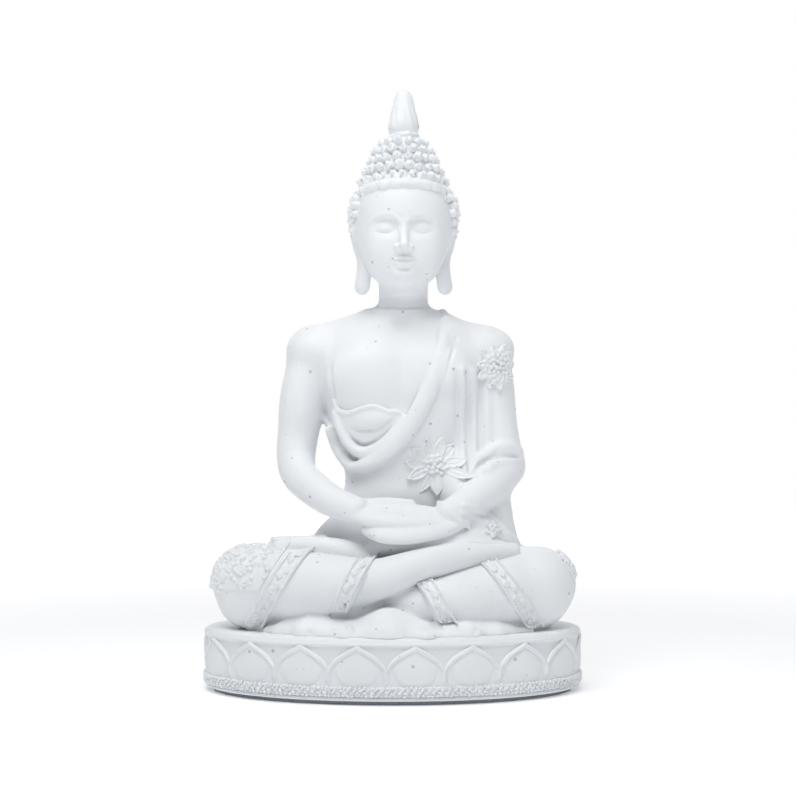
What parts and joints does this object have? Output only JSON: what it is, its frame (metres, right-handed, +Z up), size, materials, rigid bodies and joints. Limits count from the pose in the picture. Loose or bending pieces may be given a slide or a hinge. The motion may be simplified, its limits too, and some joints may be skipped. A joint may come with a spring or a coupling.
{
  "type": "seated Buddha statue",
  "caption": "White cast-stone statue of a seated meditating Buddha with robe, flower ornaments and an oval lotus-petal pedestal.",
  "frame": {"origin": "centre of the felt's flat underside, where the statue rests", "axes": "+Z up along the height, the figure faces -Y, +X is the figure's own left side and the long way of the oval pedestal"},
  "size_m": [0.1156, 0.0728, 0.1839],
  "materials": {
    "cast_stone": "matte white with sparse grey specks",
    "felt": "dark felt",
    "dowel_steel": "drawn steel rod"
  },
  "bodies": {
    "root": {"base_dowel_left": "dowel_steel", "base_dowel_right": "dowel_steel", "base_pedestal": "cast_stone", "base_trim": "cast_stone", "belly_flower": "cast_stone", "chest_cloth": "cast_stone", "felt_pad": "felt", "finial_dowel": "dowel_steel", "flame_finial": "cast_stone", "hair_band": "cast_stone", "hair_cap": "cast_stone", "head": "cast_stone", "left_ear": "cast_stone", "left_forearm": "cast_stone", "left_hand": "cast_stone", "left_knee_band": "cast_stone", "left_knee_ornament": "cast_stone", "left_leg_robe": "cast_stone", "left_shin_band": "cast_stone", "left_shin_foot": "cast_stone", "left_sleeve": "cast_stone", "lotus_petal_01": "cast_stone", "lotus_petal_02": "cast_stone", "lotus_petal_03": "cast_stone", "lotus_petal_04": "cast_stone", "lotus_petal_05": "cast_stone", "lotus_petal_06": "cast_stone", "lotus_petal_07": "cast_stone", "lotus_petal_08": "cast_stone", "lotus_petal_09": "cast_stone", "lotus_petal_10": "cast_stone", "lotus_petal_11": "cast_stone", "lotus_petal_12": "cast_stone", "lotus_petal_13": "cast_stone", "lotus_petal_14": "cast_stone", "lotus_petal_15": "cast_stone", "lotus_petal_16": "cast_stone", "lotus_petal_17": "cast_stone", "lotus_petal_18": "cast_stone", "neck": "cast_stone", "neck_dowel": "dowel_steel", "right_arm": "cast_stone", "right_ear": "cast_stone", "right_hand": "cast_stone", "right_knee_band": "cast_stone", "right_knee_ornament": "cast_stone", "right_leg_robe": "cast_stone", "right_shin_band": "cast_stone", "right_shin_foot": "cast_stone", "robe_hem": "cast_stone", "robe_sash": "cast_stone", "seat_body": "cast_stone", "shoulder_flower": "cast_stone", "sleeve_drape": "cast_stone", "sleeve_flower": "cast_stone", "topknot": "cast_stone", "torso": "cast_stone", "torso_dowel": "dowel_steel", "upper_robe": "cast_stone"}
  },
  "joints": []
}
